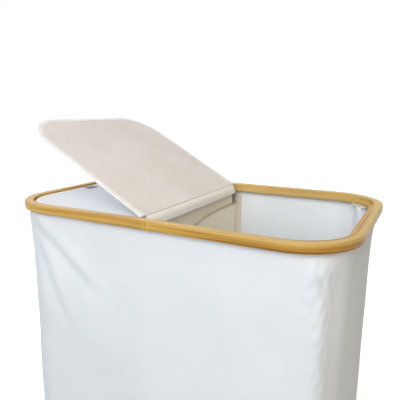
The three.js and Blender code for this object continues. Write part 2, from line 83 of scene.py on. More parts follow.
# Rim and body
corner_radius = 91 * mm
corner_x = half_length - corner_radius
corner_y = half_depth - corner_radius
shell_inset = half_length - shell_high.x
shell_wall = 1.5 * mm
neck_inset = 12.5 * mm
neck_drop = 60 * mm
body_taper = 5 * mm
floor_corner_radius = 40 * mm
cloth_spacing = 6 * mm
corner_spacing = 3 * mm
seat_gap = 0.3 * mm

# Lids, in the lid's own axes: hinge line at the origin, free end toward +X, outer face up
lid_low, lid_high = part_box("left_lid_binding")
lid_thickness = lid_high.z - lid_low.z
lid_half_width = lid_high.y
lid_corner_radius = corner_radius - (half_depth - lid_half_width)
lid_start = hinge_point.x - lid_high.x
lid_length = {
    "left": hinge_point.x - lid_low.x,
    "right": -hinge_point.x - lid_low.x,
}
lid_place = {
    "left": Matrix.Translation(hinge_point) @ Matrix.Rotation(math.pi, 4, "Z"),
    "right": Matrix.Translation(hinge_point) @ Matrix.Rotation(lean - math.pi, 4, "Y"),
}


# Camera, light and floor

camera_place = Vector((0.3685, -0.6776, 0.7875))
camera_turn, camera_dip, camera_roll = (math.radians(angle) for angle in (28.59, 11.84, 0.09))
film_width = 36
focal_length = 38.71
white = (1, 1, 1, 1)
fill_colour = (1, 0.97, 0.91, 1)
fill_level = 0.25
floor_reach = 20
floor_grey = (0.5, 0.5, 0.5, 1)
shadow_reach = 0.35
glow_in_shadow = 0.5


def add_object(name, data):
    obj = bpy.data.objects.new(name, data)
    bpy.context.scene.collection.objects.link(obj)
    return obj


def make_camera():
    """Looks down a little at the rim, from the front right."""
    data = bpy.data.cameras.new("camera")
    data.sensor_width = film_width
    data.lens = focal_length
    camera = add_object("camera", data)
    camera.location = camera_place
    looking = Matrix.Rotation(camera_turn, 3, "Z") @ Matrix.Rotation(quarter_turn - camera_dip, 3, "X")
    camera.rotation_euler = (looking @ Matrix.Rotation(camera_roll, 3, "Z")).to_euler()
    bpy.context.scene.camera = camera


def softbox(name, toward, distance, size, level, colour):
    """A square lamp that gives a surface facing it level times white."""
    data = bpy.data.lights.new(name, "AREA")
    data.shape = "SQUARE"
    data.size = size
    data.color = colour
    data.energy = level * (math.pi * distance) ** 2
    lamp = add_object(name, data)
    direction = Vector(toward).normalized()
    lamp.location = direction * distance + Vector((0, 0, rim_top))
    lamp.rotation_euler = direction.to_track_quat("Z", "Y").to_euler()
    lamp.visible_camera = False


def make_lamps():
    """Cool light in front, even light behind and a little warm light on the right."""
    near, far = 1.8, 3
    softbox("front", (0.1, -0.9, 0.52), near, 1.3, 0.635, (0.86, 0.91, 1))
    softbox("front_left", (-0.6, -0.7, 0.4), near, 1.3, 0.13, (0.82, 0.91, 1))
    softbox("front_right", (0.5, -0.9, 0.7), near, 1, 0.28, (1, 0.95, 0.82))
    softbox("back", (0.1, 0.8, 0.8), far, 1.6, 0.22, (1, 1, 0.92))
    softbox("back_left", (-0.7, 0.6, 0.6), far, 1.6, 0.25, (1, 0.92, 0.95))
    softbox("back_low", (-0.45, 0.9, -0.08), far, 0.6, 0.38, (1, 1, 1))
    softbox("right", (1, -0.2, 0.1), far, 1.6, 0.075, (1, 0.76, 0.45))


def feed(tree, socket, value):
    if isinstance(value, bpy.types.NodeSocket):
        tree.links.new(value, socket)
    else:
        socket.default_value = value


def add_node(tree, kind, **inputs):
    """A shader node with these inputs, each one linked or set."""
    node = tree.nodes.new(f"ShaderNode{kind}")
    for name, value in inputs.items():
        feed(tree, node.inputs[name.replace("_", " ").title()], value)
    return node


def add_math(tree, operation, first, second):
    node = add_node(tree, "Math")
    node.operation = operation
    feed(tree, node.inputs[0], first)
    feed(tree, node.inputs[1], second)
    return node.outputs[0]


def seen_directly(tree):
    """1 for rays that show the background to the eye, in a mirror or through glass."""
    path = add_node(tree, "LightPath").outputs
    reflected = add_math(tree, "MAXIMUM", path["Is Glossy Ray"], path["Is Transmission Ray"])
    return add_math(tree, "MAXIMUM", path["Is Camera Ray"], reflected)


def make_world():
    """A weak warm fill from all round, in front of a white backdrop."""
    world = bpy.data.worlds.new("studio")
    bpy.context.scene.world = world
    world.use_nodes = True
    tree = world.node_tree
    tree.nodes.clear()
    fill = add_node(tree, "Background", color=fill_colour, strength=fill_level)
    backdrop = add_node(tree, "Background", color=white)
    mix = add_node(tree, "MixShader")
    for socket, value in zip(mix.inputs, (seen_directly(tree), fill.outputs[0], backdrop.outputs[0])):
        feed(tree, socket, value)
    add_node(tree, "OutputWorld", surface=mix.outputs[0])


def make_floor():
    """A white floor whose own glow is seen only directly, and is weaker where the shadow falls."""
    near, far = -floor_reach, floor_reach
    points = [(near, near, 0), (far, near, 0), (far, far, 0), (near, far, 0)]
    floor = make_object("floor", points, [(0, 1, 2, 3)], smooth=False)
    material = bpy.data.materials.new("floor")
    material.use_nodes = True
    tree = material.node_tree
    tree.nodes.clear()
    from_middle = add_node(tree, "VectorMath", vector=add_node(tree, "TexCoord").outputs["Object"])
    from_middle.operation = "LENGTH"
    away = add_node(
        tree, "MapRange", value=from_middle.outputs["Value"],
        from_min=shadow_reach, from_max=3 * shadow_reach, to_min=glow_in_shadow)
    away.interpolation_type = "SMOOTHSTEP"
    level = add_math(tree, "MULTIPLY", seen_directly(tree), away.outputs["Result"])
    matte = add_node(tree, "BsdfDiffuse", color=floor_grey)
    glow = add_node(tree, "Emission", strength=level)
    both = add_node(tree, "AddShader")
    for socket, shader in zip(both.inputs, (matte, glow)):
        feed(tree, socket, shader.outputs[0])
    add_node(tree, "OutputMaterial", surface=both.outputs[0])
    floor.data.materials.append(material)


# Mesh helpers

def make_object(name, points, faces, smooth=True):
    mesh = bpy.data.meshes.new(name)
    mesh.from_pydata([tuple(point) for point in points], [], faces)
    mesh.validate()
    mesh.polygons.foreach_set("use_smooth", [smooth] * len(mesh.polygons))
    return add_object(name, mesh)


def grid_faces(rows, columns, wrapped, first=0):
    """Faces between rows of points. Wrapped ones join the last column to the first."""
    faces = []
    for row in range(rows - 1):
        lower = first + row * columns
        upper = lower + columns
        for here in range(columns if wrapped else columns - 1):
            after = (here + 1) % columns
            faces.append((lower + here, lower + after, upper + after, upper + here))
    return faces


def set_flow(obj, flow):
    """Cloth or grain coordinates of each point, in metres."""
    attribute = obj.data.attributes.new("flow", "FLOAT_VECTOR", "POINT")
    attribute.data.foreach_set("vector", np.asarray(flow, np.float32).ravel())


def face_outward(obj):
    mesh = bmesh.new()
    mesh.from_mesh(obj.data)
    bmesh.ops.recalc_face_normals(mesh, faces=mesh.faces)
    mesh.to_mesh(obj.data)
    mesh.free()


def loft(name, rings, flow):
    """A closed skin over rings of points, (rings, points, 3), with its two ends capped flat."""
    rings, flow = np.array(rings), np.array(flow)
    rows, columns = rings.shape[:2]
    faces = grid_faces(rows, columns, True)
    faces.append(tuple(range(columns)))
    faces.append(tuple((rows - 1) * columns + j for j in range(columns)))
    obj = make_object(name, rings.reshape(-1, 3), faces)
    set_flow(obj, flow.reshape(-1, 3))
    for cap in list(obj.data.polygons)[-2:]:
        cap.use_smooth = False
    face_outward(obj)
    return obj


def closed_sheet(name, upper, lower, flow):
    """Two faces of one sheet, each (rows, columns, 3), joined all round."""
    upper, lower, flow = np.array(upper), np.array(lower), np.array(flow)
    rows, columns = upper.shape[:2]
    count = rows * columns
    faces = grid_faces(rows, columns, False)
    faces += [tuple(count + k for k in reversed(face)) for face in faces]
    border = list(range(columns))
    border += [i * columns + columns - 1 for i in range(1, rows)]
    border += [(rows - 1) * columns + j for j in range(columns - 2, -1, -1)]
    border += [i * columns for i in range(rows - 2, 0, -1)]
    for start, end in zip(border, border[1:] + border[:1]):
        faces.append((end, start, count + start, count + end))
    obj = make_object(name, np.concatenate([upper.reshape(-1, 3), lower.reshape(-1, 3)]), faces)
    set_flow(obj, np.concatenate([flow.reshape(-1, 3)] * 2))
    face_outward(obj)
    return obj


def smoothstep(low, high, value):
    share = np.clip((value - low) / (high - low), 0, 1)
    return share * share * (3 - 2 * share)


def ripple(u, v, wavelength, seed):
    """Soft random waves over a sheet, between about -1 and 1."""
    draw = np.random.default_rng(seed)
    count = 9
    total = np.zeros_like(u)
    for _ in range(count):
        angle = draw.uniform(0, math.pi)
        pitch = wavelength * draw.uniform(0.7, 1.6)
        phase = draw.uniform(0, math.tau)
        total += np.sin((u * math.cos(angle) + v * math.sin(angle)) * math.tau / pitch + phase)
    return total / math.sqrt(count)


def arc(centre, radius, start, sweep, steps):
    """Points along an arc, from its start angle through the sweep."""
    angles = [start + sweep * step / steps for step in range(steps + 1)]
    return [
        (centre[0] + radius * math.cos(angle), centre[1] + radius * math.sin(angle)) for angle in angles]


def travel(points):
    """How far along a line each of its points lies."""
    return np.concatenate([[0], np.cumsum(np.linalg.norm(np.diff(points, axis=0), axis=1))])


# Material helpers

def srgb(colour):
    """A colour given in 0 to 255 as it shows on a screen."""
    def linear(value):
        share = value / 255
        return share / 12.92 if share <= 0.04045 else ((share + 0.055) / 1.055) ** 2.4
    return (*map(linear, colour), 1)


def grey(level):
    return (level, level, level, 1)


class Look:
    """A material under construction, with short ways to add its nodes."""

    def __init__(self, name, roughness, **constants):
        self.name = name
        self.material = bpy.data.materials.new(name)
        self.material.use_nodes = True
        self.tree = self.material.node_tree
        self.shader = self.tree.nodes["Principled BSDF"]
        self.shader.inputs["Roughness"].default_value = roughness
        for key, value in constants.items():
            self.shader.inputs[key.replace("_", " ").title()].default_value = value

    def place(self, source, scale, turn=(0, 0, 0), stretch=(1, 1, 1)):
        """Coordinates, from the flow attribute or the object: scaled, then turned and stretched."""
        if source == "flow":
            node = add_node(self.tree, "Attribute")
            node.attribute_name = "flow"
            start = node.outputs["Vector"]
        else:
            start = add_node(self.tree, "TexCoord").outputs["Object"]
        mapping = add_node(self.tree, "Mapping", vector=start, scale=scale)
        if turn == (0, 0, 0):
            return mapping.outputs["Vector"]
        slanted = add_node(self.tree, "Mapping", vector=mapping.outputs["Vector"])
        slanted.vector_type = "TEXTURE"
        slanted.inputs["Rotation"].default_value = turn
        slanted.inputs["Scale"].default_value = [1 / share for share in stretch]
        return slanted.outputs["Vector"]

    def part(self, axis):
        """One of the flow attribute's coordinates by itself."""
        return add_node(self.tree, "SeparateXYZ", vector=self.place("flow", (1, 1, 1))).outputs[axis]

    def noise(self, scale, detail=2, source="flow", **slant):
        vector = self.place(source, scale, **slant)
        return add_node(self.tree, "TexNoise", vector=vector, scale=1, detail=detail).outputs["Fac"]

    def bands(self, vector, direction):
        """Slightly uneven bands, one for each unit along a direction."""
        node = add_node(self.tree, "TexWave", vector=vector, scale=1 / math.pi, distortion=0.6)
        node.bands_direction = direction
        return node.outputs["Fac"]

    def calc(self, operation, first, second):
        return add_math(self.tree, operation, first, second)

    def scaled(self, value, share):
        return self.calc("MULTIPLY", value, share)

    def weighed(self, *parts):
        """The sum of several values, each times its share."""
        total, *others = [self.scaled(value, share) for value, share in parts]
        for other in others:
            total = self.calc("ADD", total, other)
        return total

    def ramp(self, factor, *stops):
        node = add_node(self.tree, "ValToRGB", fac=factor)
        elements = node.color_ramp.elements
        while len(elements) < len(stops):
            elements.new(0.5)
        for element, (position, colour) in zip(elements, stops):
            element.position = position
            element.color = colour
        return node.outputs["Color"]

    def blend(self, factor, first, second):
        node = add_node(self.tree, "Mix")
        node.data_type = "RGBA"
        for index, value in ((0, factor), (6, first), (7, second)):
            feed(self.tree, node.inputs[index], value)
        return node.outputs[2]

    def bump(self, height, distance, strength):
        return add_node(
            self.tree, "Bump", height=height, distance=distance, strength=strength).outputs["Normal"]

    def finish(self, colour, normal, roughness=None):
        feed(self.tree, self.shader.inputs["Base Color"], colour)
        feed(self.tree, self.shader.inputs["Normal"], normal)
        if roughness:
            feed(self.tree, self.shader.inputs["Roughness"], roughness)
        return self.name, self.material


def woven(name, light, dark, thread, slub=0.5, streaks=0, tail=None):
    """Plain-weave cloth: crossed threads, uneven slubs, pale slanting streaks and a slow drift. A tail
    colour, where one is given, is blended in by the flow's third coordinate, and is painted shade on the
    pieces that use it.
    """
    look = Look(name, 0.9, sheen_weight=0.15, sheen_roughness=0.6)
    pace = 1 / thread
    slow, slub_pace = 60, pace * 0.7
    counted = look.place("flow", (pace, pace, pace))
    weave = look.calc("MULTIPLY", look.bands(counted, "X"), look.bands(counted, "Y"))
    warp, weft = look.noise((slow, slub_pace, 0), 3), look.noise((slub_pace, slow, 0), 3)
    slubs = look.scaled(look.calc("ADD", warp, weft), 0.5)
    drift = look.noise((9, 9, 9))
    tone = look.weighed((slubs, slub), (drift, 1 - slub))
    if streaks:
        streak = look.noise((140, 140, 1), turn=(0, 0, math.radians(38)), stretch=(0.06, 1, 1))
        tone = look.calc("ADD", tone, look.scaled(look.calc("SUBTRACT", streak, 0.5), streaks))
    colour = look.ramp(tone, (0.36, srgb(dark)), (0.6, srgb(light)))
    # tail is the colour of painted shade, blended in where the flow's third coordinate is raised
    if tail:
        colour = look.blend(look.part("Z"), colour, srgb(tail))
    height = look.calc("ADD", weave, look.scaled(slubs, 1.5))
    return look.finish(colour, look.bump(height, thread * 0.2, 0.35))


def bamboo_look():
    """Bamboo strip under clear lacquer: long fibres, paler and browner strips, and dark nodes. The back
    half of each rim half is made paler and yellower with painted light.
    """
    look = Look("bamboo", 0.5, coat_weight=0.05, coat_roughness=0.3)
    look.shader.inputs["Specular IOR Level"].default_value = 0.18
    none, most = grey(0), grey(0.6)
    fibre = look.noise((7, 900, 900), 4)
    strip, drift = look.noise((2.2, 210, 210)), look.noise((5, 20, 20))
    tone = look.weighed((fibre, 0.42), (strip, 0.38), (drift, 0.2))
    brown, amber, straw = srgb((138, 91, 31)), srgb((183, 138, 60)), srgb((212, 173, 92))
    colour = look.ramp(tone, (0.37, brown), (0.48, amber), (0.58, straw))
    patches = look.ramp(look.noise((3.2, 40, 40), 1), (0.5, none), (0.62, most))
    colour = look.blend(patches, colour, srgb((206, 176, 106)))
    along = look.part("X")
    # painted light: the back half of each rim half is made paler and yellower, as if it were more brightly
    # lit
    painted_light_back = look.ramp(along, (0.5, none), (0.62, most))
    colour = look.blend(painted_light_back, colour, srgb((214, 186, 122)))
    cells = add_node(look.tree, "TexVoronoi", vector=look.place("flow", (5.2, 50, 50)), scale=1)
    mark = look.calc("LESS_THAN", cells.outputs["Distance"], 0.045)
    colour = look.blend(look.scaled(mark, 0.55), colour, srgb((128, 80, 34)))
    near_joint = look.ramp(along, (0, most), (9 * mm, none))
    colour = look.blend(near_joint, colour, srgb((213, 172, 88)))
    joint = look.calc("LESS_THAN", along, 0.6 * mm)
    colour = look.blend(look.scaled(joint, 0.4), colour, srgb((110, 68, 30)))
    pores = look.noise((60, 1500, 1500))
    normal = look.bump(look.calc("ADD", fibre, look.scaled(pores, 0.4)), 0.12 * mm, 0.5)
    return look.finish(colour, normal, look.calc("ADD", look.scaled(fibre, 0.2), 0.3))


def plain_look(name, light, dark, roughness, grain, depth, stretch=(1, 1, 1), **constants):
    """Moulded, coated or pressed surface: a fine uneven texture and a slow drift of tone."""
    look = Look(name, roughness, **constants)
    fine = look.noise([grain * share for share in stretch], 3, "object")
    drift = look.noise((14, 14, 14), source="object")
    colour = look.ramp(look.weighed((fine, 0.4), (drift, 0.6)), (0.35, srgb(dark)), (0.62, srgb(light)))
    uneven = look.calc("ADD", look.scaled(fine, 0.15), roughness - 0.07)
    return look.finish(colour, look.bump(fine, depth, 0.5), uneven)


materials = dict([
    bamboo_look(),
    plain_look("dowel_wood", (220, 192, 142), (196, 164, 112), 0.6, 300, 0.1 * mm, (0.1, 1, 1)),
    woven("white_cloth", (234, 237, 240), (226, 230, 234), 0.8 * mm),
    woven("binding_cloth", (246, 244, 243), (238, 235, 233), 0.6 * mm),
    woven("beige_cloth", (224, 215, 205), (212, 202, 190), 0.9 * mm),
    woven("lining_cloth", (230, 222, 217), (219, 210, 204), 0.9 * mm, streaks=0.2),
    # hinge_cloth's tail colour is painted shade: a darker line in the crease where the band meets the
    # lid's lining
    woven("hinge_cloth", (248, 242, 234), (242, 235, 226), 0.9 * mm, tail=(196, 184, 172)),
    # sleeve_cloth's tail colour is painted shade: the tail below the band made darker and khaki, as if
    # shaded and lit by the divider
    woven("sleeve_cloth", (250, 245, 238), (244, 238, 230), 0.9 * mm, tail=(236, 229, 205)),
    # khaki_cloth's tail colour is painted shade: a dark line along the divider's upper edge, under the
    # sleeve's tail
    woven("khaki_cloth", (251, 243, 218), (244, 235, 208), 0.9 * mm, tail=(168, 160, 132)),
    woven("tape_cloth", (222, 214, 198), (208, 199, 181), 1.1 * mm),
    woven("grey_ribbon", (128, 130, 134), (98, 100, 104), 0.7 * mm, slub=0.3),
    plain_look("thread", (226, 220, 210), (206, 198, 186), 0.7, 2500, 0.05 * mm),
    plain_look("grey_board", (190, 186, 178), (168, 164, 156), 0.85, 600, 0.1 * mm),
    plain_look("white_plastic", (236, 235, 230), (226, 225, 220), 0.42, 1200, 0.03 * mm),
    plain_look("pole_coat", (226, 227, 227), (214, 215, 216), 0.38, 1600, 0.04 * mm, (1, 1, 0.3)),
    plain_look("zinc_steel", (196, 198, 200), (160, 163, 166), 0.32, 1800, 0.02 * mm, metallic=1),
])


def dress(obj, material):
    obj.data.materials.clear()
    obj.data.materials.append(materials[material])


def stand_for(obj, node, body, material):
    """Finishes a cloth piece that is shown instead of a solid and moves with a body."""
    dress(obj, material)
    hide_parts(node)
    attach(obj, body)


def fit_to_lid(obj, side, part, material):
    """Moves a piece from the lid's own axes onto that lid, where it stands for one of its solids."""
    obj.data.transform(lid_place[side])
    stand_for(obj, f"{side}_lid_{part}", f"{side}_lid", material)


# Outline of rim and body: each sample has an anchor on the corners' rectangle and a direction out

def outline_samples():
    """Anchors, directions and path lengths, once round from the middle of the back."""
    right, left, back, front = (1, 0), (-1, 0), (0, 1), (0, -1)
    stops = [
        ((0, corner_y), back), ((-corner_x, corner_y), back),
        ((-corner_x, corner_y), left), ((-corner_x, -corner_y), left),
        ((-corner_x, -corner_y), front), ((corner_x, -corner_y), front),
        ((corner_x, -corner_y), right), ((corner_x, corner_y), right),
        ((corner_x, corner_y), back), ((0, corner_y), back),
    ]
    anchors, directions, lengths = [], [], []
    travelled = 0
    for (place, way), (next_place, next_way) in zip(stops, stops[1:]):
        turning = way != next_way
        run = corner_radius * quarter_turn if turning else math.dist(place, next_place)
        steps = round(run / (corner_spacing if turning else cloth_spacing))
        for step in range(steps):
            share = step / steps
            angle = share * quarter_turn if turning else 0
            anchors.append([a + (b - a) * share for a, b in zip(place, next_place)])
            directions.append([a * math.cos(angle) + b * math.sin(angle) for a, b in zip(way, next_way)])
            lengths.append(travelled + run * share)
        travelled += run
    return np.array(anchors), np.array(directions, float), np.array(lengths)


def share_down(height):
    return np.clip((rim_bottom - height) / rim_bottom, 0, 1)


def flare_at(height):
    """How far the cloth curves out on its way up to the rim."""
    share = np.clip(1 - (rim_bottom - height) / neck_drop, 0, 1)
    return (neck_inset - shell_inset) * share**2


def wall_inset(height):
    return neck_inset + body_taper * share_down(height) - flare_at(height)


def wall_radius(height):
    """Corner radius of the body, which gets tighter toward the floor."""
    neck_radius = corner_radius - neck_inset
    return neck_radius + (floor_corner_radius - neck_radius) * share_down(height) + flare_at(height)


def wall_face(height):
    """Distance of the body's inner face from the middle of its depth."""
    return half_depth - wall_inset(height) - shell_wall


def corner_centre(height):
    drawn_in = wall_inset(height) + wall_radius(height)
    return half_length - drawn_in, half_depth - drawn_in


# Fabric body

waist_depth = 3 * mm
left_bulge = 0.5 * mm
right_bulge = 6 * mm
shoulder = 3.5 * mm
bulge_spread = math.radians(15)
crumple_height = 1.3 * mm
quiet_crumple = 0.4 * mm
crumple_pitch = 14 * mm
wrinkle_height = 0.5 * mm
wrinkle_pitch = 90 * mm
fold_shift = math.radians(9)
fold_height = 3.2 * mm
fold_width = 13 * mm
trough_depth = 0.7
trough_shift = 1.7
body_rows = 108
edge_margin = 12 * mm
inner_weave_shift = 0.9
floor_weave_shift = 2

# Each fold is a line of places on the front: x, and the height from the rim's top
folds = [
    [(-0.240, -0.012), (-0.195, -0.048), (-0.151, -0.082), (-0.105, -0.117), (-0.060, -0.150)],
    [(-0.226, -0.045), (-0.200, -0.099), (-0.181, -0.151), (-0.156, -0.198), (-0.130, -0.250)],
]


def fold_lift(x, drop):
    """Height of the soft diagonal folds that fan out from the front left corner."""
    total = np.zeros_like(x)
    for line in folds:
        nearest = np.full_like(x, np.inf)
        side = np.zeros_like(x)
        travelled = np.zeros_like(x)
        for index, (start, end) in enumerate(zip(line, line[1:])):
            run_x, run_z = np.subtract(end, start)
            length = math.hypot(run_x, run_z)
            share = ((x - start[0]) * run_x + (drop - start[1]) * run_z) / length**2
            share = np.clip(share, 0, 1)
            off_x = x - start[0] - share * run_x
            off_z = drop - start[1] - share * run_z
            distance = np.hypot(off_x, off_z)
            closer = distance < nearest
            nearest = np.where(closer, distance, nearest)
            side = np.where(closer, np.sign(off_z * run_x - off_x * run_z), side)
            travelled = np.where(closer, (index + share) / (len(line) - 1), travelled)
        across = nearest * side / fold_width
        profile = np.exp(-across**2) - trough_depth * np.exp(-(across + trough_shift) ** 2)
        total += profile * smoothstep(0, 0.2, travelled) * (1 - smoothstep(0.55, 1, travelled))
    return fold_height * total


def body_offset(spots, direction, height):
    """How far the cloth stands out from the plain wall, at spots round it that face this direction."""
    x, y = spots.T
    toward_end, toward_side = np.abs(direction).T
    below_rim = rim_bottom - height
    off_rim = smoothstep(0, 30 * mm, below_rim)
    off_floor = smoothstep(0, 60 * mm, height)
    front_right = (x > 0) & (y < 0)

    ridge = math.pi / 4 + fold_shift * front_right
    near_pole = np.exp(-((np.arctan2(toward_side, toward_end) - ridge) / bulge_spread) ** 2)
    waist = waist_depth * math.sin(math.pi * min(height / rim_bottom, 1))
    offset = -waist * toward_end * (1 - near_pole)
    near_top = 1 - smoothstep(20 * mm, 140 * mm, below_rim)
    bulge = np.where(x > 0, right_bulge, left_bulge + shoulder * near_top)
    offset += bulge * near_pole * off_rim * off_floor

    path = np.where(toward_side > toward_end, x, y + np.sign(x))
    level = np.full_like(path, height)
    fading = 1 - 0.55 * smoothstep(20 * mm, 250 * mm, below_rim)
    crumple = np.where(front_right, crumple_height, quiet_crumple)
    crumple = crumple * ripple(path, level * 0.6, crumple_pitch, seed=12)
    offset += crumple * near_pole * fading * off_rim

    from_bar = smoothstep(30 * mm, 90 * mm, np.abs(x - hinge_point.x))
    free = smoothstep(0, 90 * mm, below_rim) * off_floor
    free = free * np.where(toward_side > 0.7, from_bar, 1)
    offset += wrinkle_height * ripple(path, level * 0.45, wrinkle_pitch, seed=3) * free

    on_front = np.clip(-direction[:, 1], 0, 1) ** 0.5
    lift = fold_lift(x, np.full_like(x, height - rim_top))
    offset += lift * on_front * smoothstep(0, 20 * mm, below_rim)
    return offset


def dent(height, centre, spread, depth):
    """How far a seam draws the wall in at this height."""
    return depth * math.exp(-((height - centre) / spread) ** 2)


def make_body():
    """The open bag: outer face, rolled hem under the rim, inner face, and the sewn bottom edge."""
    anchors, directions, lengths = outline_samples()
    bottom_roll = 1.6 * mm
    heights = np.concatenate([
        bottom_roll * np.array([0.3, 1, 2, 3.5]),
        np.linspace(edge_margin, rim_bottom - edge_margin, body_rows),
        rim_bottom - np.array([8, 5, 3, 1.5, 0]) * mm,
        [hem_top],
    ])
    rings, flow = [], []

    def add(drawn_in, height, folded=True, shift=0):
        centre_x, centre_y = corner_centre(height)
        centres = anchors * (centre_x / corner_x, centre_y / corner_y)
        radius = wall_radius(height)
        reach = np.full(len(anchors), radius - drawn_in)
        if folded:
            reach += body_offset(centres + directions * radius, directions, height)
        level = np.full(len(anchors), height)
        rings.append(np.column_stack([centres + directions * reach[:, None], level]))
        flow.append(np.column_stack([lengths, level + shift, 0 * level]))

    for share in (0.95, 0.6, 0.3, 0.1, 0.03):
        inward = share * floor_corner_radius
        add(inward, 0, folded=False, shift=-inward)
    add(1.2 * mm, 0, folded=False)
    for height in heights:
        seam = dent(height, 3.2 * mm, 1.8 * mm, 0.7 * mm)
        hem = dent(height, rim_bottom - 4 * mm, 2.6 * mm, 0.5 * mm)
        add(seam + hem, height)
    for height in heights[::-1]:
        if height > shell_wall:
            add(shell_wall, height, shift=inner_weave_shift)
    for share in (0.06, 0.1, 0.3, 0.6, 0.95):
        inward = share * floor_corner_radius
        add(inward, shell_wall, folded=False, shift=floor_weave_shift + inward)
    stand_for(loft("body_cloth", rings, flow), "outer_shell", "root", "white_cloth")


# Lids

hinge_roll = 1.2 * mm
binding_flange = 10 * mm
binding_ply = 0.4 * mm
stitch_start = 16 * mm
stitch_pitch = 3.4 * mm
stitch_length = 2.5 * mm
stitch_radius = 0.22 * mm


def lid_end(across, inset, length):
    """How far a lid reaches from its hinge line at a place across it."""
    radius = lid_corner_radius - inset
    beyond = np.clip(np.abs(across) - (lid_half_width - lid_corner_radius), 0, radius)
    return length - inset - radius + np.sqrt(radius**2 - beyond**2)


def lid_layer(name, side, inner, outer, crown, seed):
    """One cloth face of a lid, drawn a little full, and rolled in at the hinge edge."""
    inset = 1.4 * mm
    half = lid_half_width - inset
    flat = lid_half_width - lid_corner_radius
    bend = flat + (half - flat) * np.sin(np.linspace(0, quarter_turn, 14)[1:])
    across = np.concatenate([-bend[::-1], np.linspace(-flat, flat, 40), bend])
    end = lid_end(across, inset, lid_length[side])
    first = lid_start + 0.1 * mm
    roll = first + hinge_roll * (1 - np.cos(np.linspace(0, quarter_turn, 6)))
    run = end - first - hinge_roll
    x = np.concatenate([
        np.broadcast_to(roll[:, None], (len(roll), len(end))),
        first + hinge_roll + np.linspace(0.02, 1, 64)[:, None] * run,
    ])
    y = np.broadcast_to(across, x.shape)
    from_edge = np.minimum.reduce([x - first, end - x, half - np.abs(y)])
    full = smoothstep(6 * mm, 45 * mm, from_edge)
    lift = crown * full * (1 + 0.35 * ripple(x, y, 110 * mm, seed))
    short = np.clip(1 - (x - first) / hinge_roll, 0, 1)
    rolled = -np.sign(crown) * hinge_roll * (1 - np.sqrt(1 - short**2))
    faces = [np.stack([x, y, level + rolled + lift], axis=-1) for level in (outer, inner)]
    return closed_sheet(name, *faces, np.stack([x, y, 0 * x], axis=-1))


def lid_path(inset, length, spacing):
    """Points and outward directions round a lid's three free edges, from hinge to hinge."""
    radius = lid_corner_radius
    far = length - radius
    side_y = lid_half_width - radius
    along = np.linspace(lid_start, far, round(far / spacing) + 1)
    turn = np.linspace(0, quarter_turn, round(radius * quarter_turn / spacing) + 1)[:-1]
    across = np.linspace(-side_y, side_y, round(2 * side_y / spacing) + 1)[:-1]
    runs = [
        (along[:-1], -side_y, -quarter_turn),
        (far, -side_y, turn - quarter_turn),
        (far, across, 0),
        (far, side_y, turn),
        (along[::-1], side_y, quarter_turn),
    ]
    x, y, angle = np.concatenate([np.broadcast_arrays(*run) for run in runs], axis=1)
    direction = np.column_stack([np.cos(angle), np.sin(angle)])
    return np.column_stack([x, y]) + direction * (radius - inset), direction


def make_lid_binding(side):
    """Folded tape round the free edges, a little puckered between its stitches."""
    edge, direction = lid_path(0, lid_length[side], 4 * mm)
    travelled = travel(edge)
    bend, press = 1.3 * mm, 0.15 * mm
    low = -lid_thickness
    outside = [(binding_flange, -press), (binding_flange - 0.5 * mm, 0)]
    outside += arc((bend, -bend), bend, quarter_turn, quarter_turn, 6)
    inside = [
        (binding_flange, low + press + binding_ply), (1.6 * mm, low + binding_ply),
        (0.8 * mm, low + 1.3 * mm)]
    section = outside + [(0, low / 2)] + [(inset, low - height) for inset, height in reversed(outside)]
    section += inside + [(inset, low - height) for inset, height in reversed(inside)]
    rings, flow = [], []
    for distance, point, way in zip(travelled, edge, direction):
        pucker = math.sin(distance * math.tau / (9 * mm)) + math.sin(distance * math.tau / (37 * mm) + 1)
        pucker *= 0.08 * mm * smoothstep(4 * mm, 16 * mm, point[0] - lid_start)
        ring = []
        for inset, height in section:
            on_face = smoothstep(1.5 * mm, 5 * mm, inset)
            outward = 1 if height > low / 2 else -1
            spot = point - way * (inset + 0.4 * pucker)
            ring.append((*spot, height + outward * pucker * on_face))
        rings.append(ring)
        flow.append([(distance, inset - 2 * height, 0) for inset, height in section])
    fit_to_lid(loft(f"{side}_binding_cloth", rings, flow), side, "binding", "binding_cloth")
    proud = 0.02 * mm
    for face, height, up in (("outer", proud, 1), ("inner", low - proud, -1)):
        line, _ = lid_path(binding_flange - 1.6 * mm, lid_length[side], 1 * mm)
        line = line[line[:, 0] > lid_start + stitch_start]
        spots = np.column_stack([line, np.full(len(line), height)])
        row = stitch_row(f"{side}_binding_stitches_{face}", spots, np.array([0, 0, up]))
        row.data.transform(lid_place[side])
        dress(row, "thread")
        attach(row, f"{side}_lid")


def stitch_row(name, line, up):
    """Lockstitches along a line: each one a short thread that dips into the cloth at both ends."""
    travelled = travel(line)

    def at(distance):
        return np.array([np.interp(distance, travelled, line[:, k]) for k in range(3)])

    points, faces, flow = [], [], []
    sides, spans = 6, 5
    nudge = 0.2 * mm
    for index in range(int(travelled[-1] / stitch_pitch)):
        first = index * stitch_pitch + (stitch_pitch - stitch_length) / 2
        base = len(points)
        for span in range(spans):
            share = span / (spans - 1)
            distance = first + share * stitch_length
            ahead = at(distance + nudge) - at(distance - nudge)
            beside = np.cross(ahead / np.linalg.norm(ahead), up)
            arch = stitch_radius * (1.3 * math.sin(math.pi * share) - 0.7)
            girth = stitch_radius * (0.55 + 0.45 * math.sin(math.pi * share))
            for k in range(sides):
                angle = math.tau * k / sides
                lift = arch + girth * math.sin(angle)
                points.append(at(distance) + up * lift + beside * girth * math.cos(angle))
                flow.append((distance, angle * girth, 0))
        faces += grid_faces(spans, sides, True, base)
        faces.append(tuple(base + k for k in range(sides)))
        faces.append(tuple(base + (spans - 1) * sides + k for k in range(sides)))
    obj = make_object(name, points, faces)
    set_flow(obj, flow)
    face_outward(obj)
    return obj


